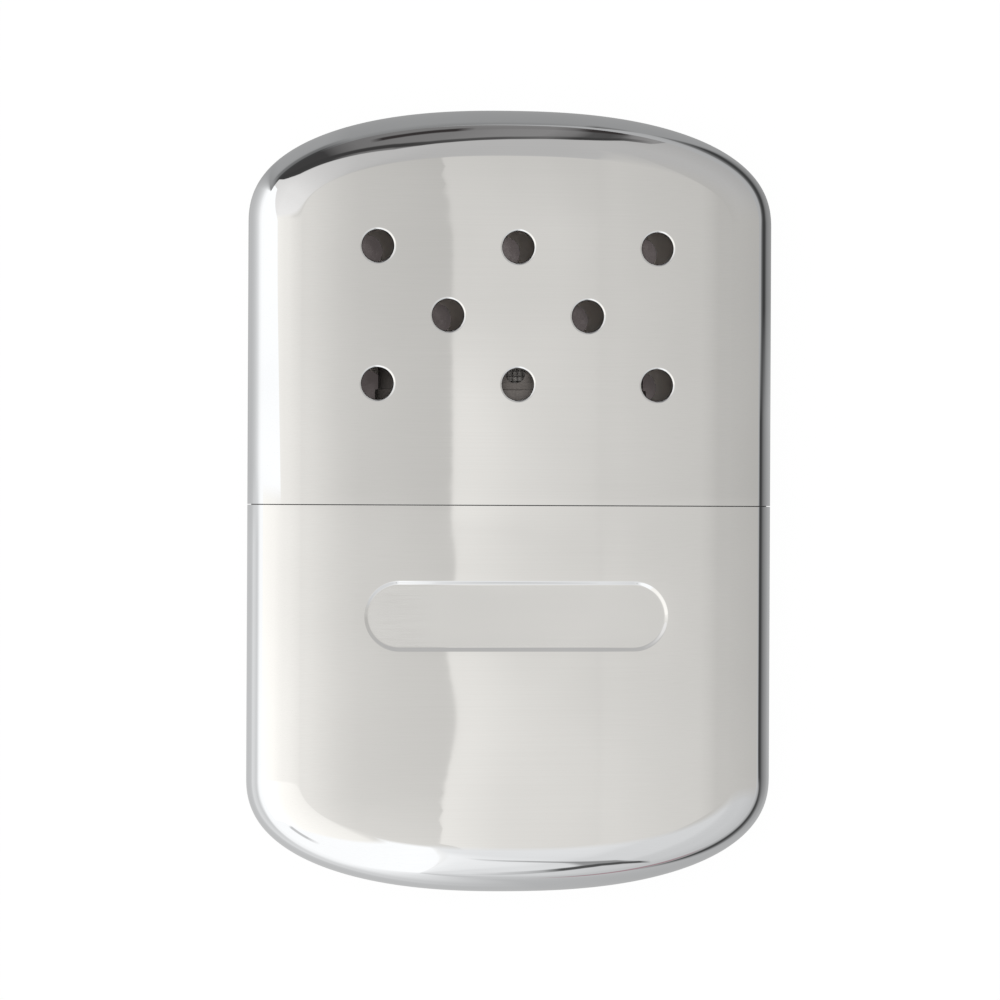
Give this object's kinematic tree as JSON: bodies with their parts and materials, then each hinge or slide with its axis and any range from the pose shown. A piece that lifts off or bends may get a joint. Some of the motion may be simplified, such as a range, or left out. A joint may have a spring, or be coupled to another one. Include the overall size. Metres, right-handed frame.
{
  "type": "catalytic hand warmer",
  "caption": "Flat polished pocket warmer with arched ends: a vented lid pulls off a fuel tank, and a catalytic burner lifts off its filler neck.",
  "frame": {"origin": "centre of the closed warmer's outline, on the surface that its back lies on", "axes": "+X across the warmer, +Y from the tank to the lid's arch, +Z through its thickness from the back to the front face"},
  "size_m": [0.0676, 0.1, 0.014],
  "materials": {
    "polished_chrome": "mirror-polished chrome plate on drawn steel",
    "satin_nickel": "satin nickel plate on drawn steel",
    "plain_steel": "plain punched steel sheet",
    "burner_steel": "pressed stainless sheet, browned by heat at its foot and nearly black above",
    "steel_gauze": "fine woven wire, blackened by heat",
    "catalyst_fibre": "grey glass-fibre mat carrying the catalyst",
    "wick_felt": "pressed wool felt",
    "cotton_wadding": "loose white cotton wadding"
  },
  "bodies": {
    "tank": {"tank_shell": "polished_chrome", "tank_shoulder": "satin_nickel", "filler_neck": "satin_nickel", "neck_grid": "plain_steel", "felt_wick": "wick_felt", "wadding_back": "cotton_wadding", "wadding_core": "cotton_wadding", "wadding_front": "cotton_wadding"},
    "lid": {"lid_shell": "polished_chrome"},
    "burner": {"burner_band": "burner_steel", "burner_hood_front": "burner_steel", "burner_hood_back": "burner_steel", "burner_gauze": "steel_gauze", "catalyst_mat": "catalyst_fibre", "mat_tray": "plain_steel"}
  },
  "joints": [
    {"name": "lid_slide", "type": "slide", "parent": "tank", "child": "lid", "axis": [0, 1, 0], "range_m": [0, 0.045]},
    {"name": "burner_lift", "type": "slide", "parent": "tank", "child": "burner", "axis": [0, 1, 0], "range_m": [0, 0.02]}
  ]
}
